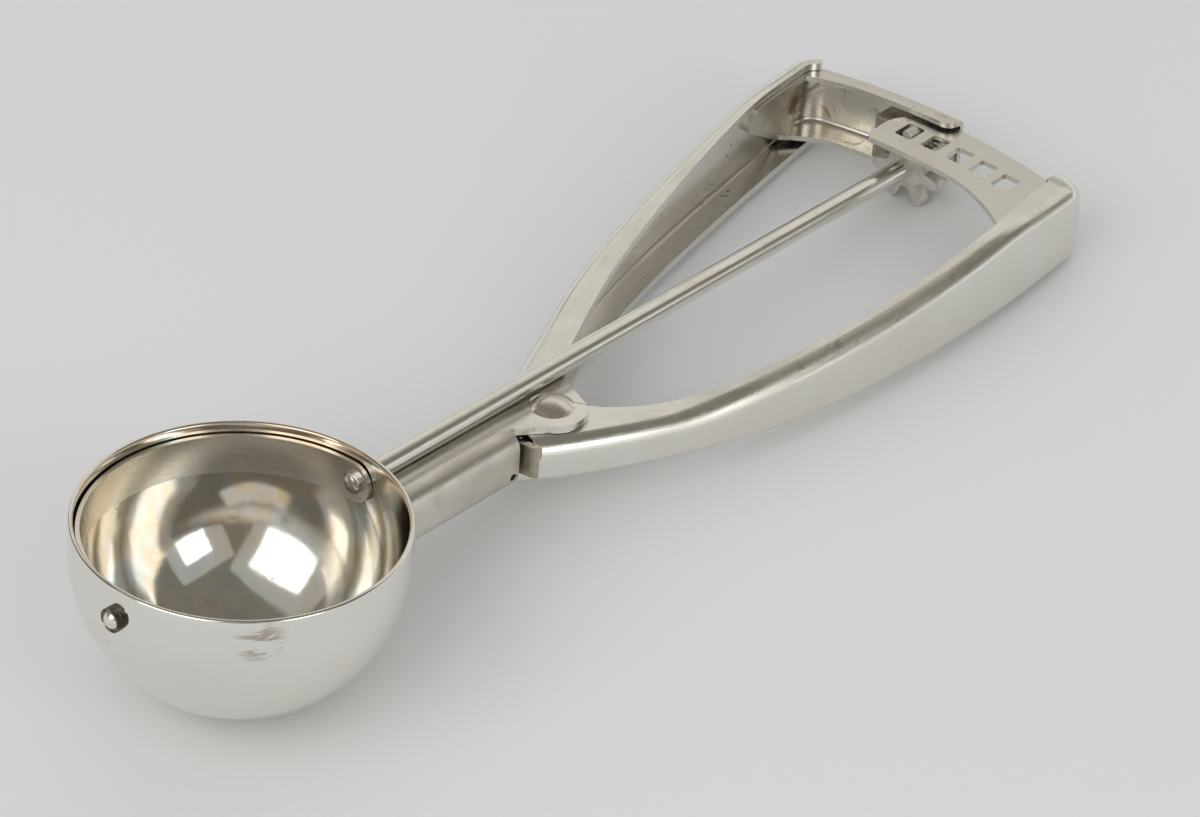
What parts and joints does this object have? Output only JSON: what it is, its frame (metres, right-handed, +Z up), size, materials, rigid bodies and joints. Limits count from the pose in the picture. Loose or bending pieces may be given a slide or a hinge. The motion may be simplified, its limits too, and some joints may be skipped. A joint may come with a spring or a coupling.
{
  "type": "ice cream scoop",
  "caption": "Lever ice cream scoop: a round bowl on a folded neck, squeeze handles, and a windowed rack whose star wheel turns a rod and sweeps a scraper strip round the bowl.",
  "frame": {"origin": "centre of the bounding box's bottom face, on the table that the scoop rests on", "axes": "+X along the scoop from the bowl to the handles, +Y towards the fixed handle, +Z up, out of the bowl's mouth; the rod slopes down towards +X by the angle at which the scoop rests"},
  "size_m": [0.217, 0.067, 0.0378],
  "materials": {
    "plated_steel": "bright nickel plate, warm, lightly scratched and smudged by handling",
    "strip_steel": "smooth spring steel strip, half bright",
    "bracket_steel": "dull plate with light brown staining in the corners",
    "cast_metal": "matte grey, as cast",
    "dark_steel": "dark, dull steel",
    "spring_steel": "bare spring wire and tube, half bright"
  },
  "bodies": {
    "frame": {"bowl": "plated_steel", "fixed_handle": "plated_steel", "arm_bracket": "bracket_steel", "rod_bearing": "cast_metal", "front_pin": "plated_steel", "front_collar": "dark_steel", "pivot_rivet": "plated_steel", "spring_sleeve": "spring_steel", "return_spring": "spring_steel"},
    "lever": {"movable_handle": "plated_steel", "rack_plate": "plated_steel"},
    "scraper": {"rod": "plated_steel", "scraper_blade": "strip_steel", "pinion": "cast_metal"}
  },
  "joints": [
    {"name": "handle_squeeze", "type": "hinge", "parent": "frame", "child": "lever", "pos_m": [-0.00855, -0.00212, 0.01248], "axis": [0.1193, 0, 0.9929], "range_deg": [0, 11.13], "stiffness_Nm_per_rad": 0.6, "springref_deg": -21.2, "deforming": ["return_spring"]},
    {"name": "rod_turn", "type": "hinge", "parent": "frame", "child": "scraper", "pos_m": [-0.07811, 0.00338, 0.0287], "axis": [0.9929, 0, -0.1193], "range_deg": [-180, 0]}
  ],
  "couplings": [
    {"joint": "rod_turn", "follows": "handle_squeeze", "ratio": -16.169}
  ]
}
